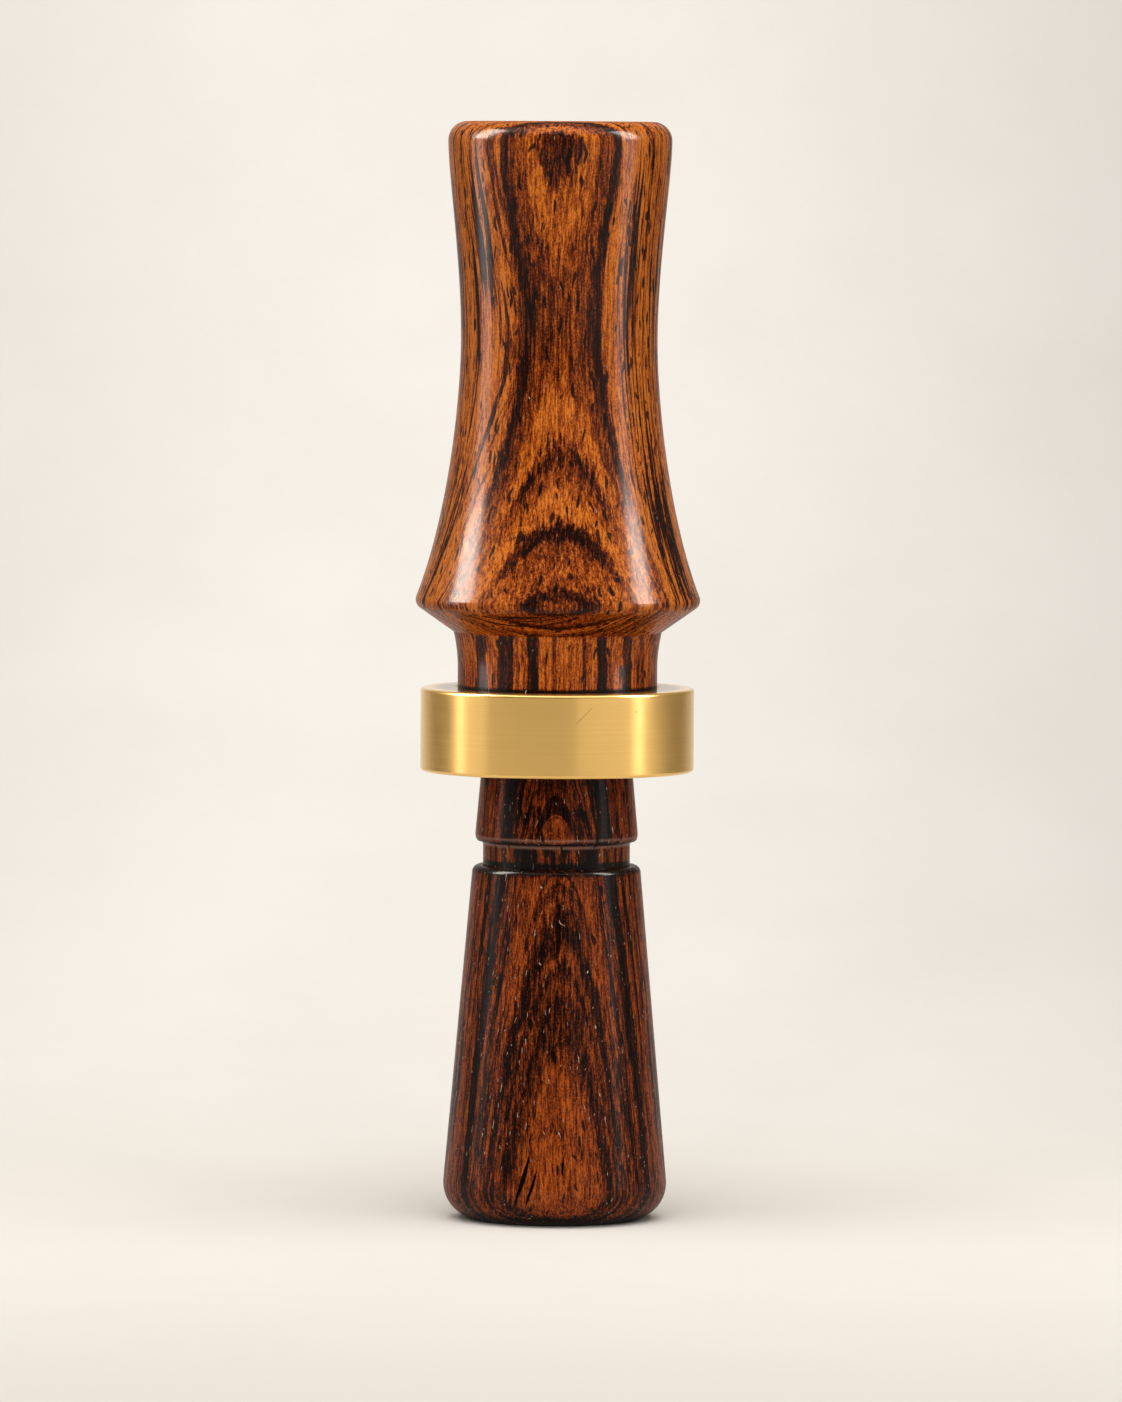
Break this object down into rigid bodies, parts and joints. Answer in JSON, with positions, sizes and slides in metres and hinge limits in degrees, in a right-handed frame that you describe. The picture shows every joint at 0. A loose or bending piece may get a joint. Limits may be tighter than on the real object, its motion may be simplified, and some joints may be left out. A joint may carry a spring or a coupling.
{
  "type": "bird call",
  "caption": "Turned wooden duck call: flared barrel with a brass band, and a grooved insert that carries a tone board, reeds and a cork wedge. Blown by mouth to imitate a bird.",
  "frame": {"origin": "middle of the exhaust end, on the surface that the call stands on", "axes": "+Z along the axis of the call towards the mouth end; -Y towards the side that the reeds face"},
  "size_m": [0.0362, 0.0362, 0.14],
  "materials": {
    "barrel_wood": "gloss lacquer",
    "insert_wood": "gloss lacquer",
    "brass": "brushed, polished edges",
    "acetal": "satin",
    "reed_film": "satin",
    "cork": "matte",
    "seal_rubber": "matte"
  },
  "bodies": {
    "insert": {"insert": "insert_wood", "tone_board": "acetal"},
    "seal_rings": {"upper_o_ring": "seal_rubber", "lower_o_ring": "seal_rubber"},
    "barrel": {"barrel": "barrel_wood", "band": "brass"},
    "lower_reed": {"lower_reed": "reed_film"},
    "upper_reed": {"upper_reed": "reed_film"},
    "wedge": {"wedge": "cork"}
  },
  "joints": [
    {"name": "barrel_twist", "type": "hinge", "parent": "insert", "child": "seal_rings", "pos_m": [0, 0, 0.0653], "axis": [0, 0, 1], "continuous": true},
    {"name": "barrel_pull", "type": "slide", "parent": "seal_rings", "child": "barrel", "axis": [0, 0, 1], "range_m": [0, 0.075]},
    {"name": "lower_reed_flex", "type": "hinge", "parent": "insert", "child": "lower_reed", "pos_m": [0, -0.001, 0.0748], "axis": [-1, 0, 0], "range_deg": [0, 1.2], "stiffness_Nm_per_rad": 0.015},
    {"name": "upper_reed_flex", "type": "hinge", "parent": "insert", "child": "upper_reed", "pos_m": [0, -0.001, 0.0748], "axis": [-1, 0, 0], "range_deg": [0, 1.2]},
    {"name": "wedge_pull", "type": "slide", "parent": "insert", "child": "wedge", "axis": [0, 0, 1], "range_m": [0, 0.012]}
  ],
  "couplings": [
    {"joint": "upper_reed_flex", "follows": "lower_reed_flex", "ratio": 1}
  ]
}
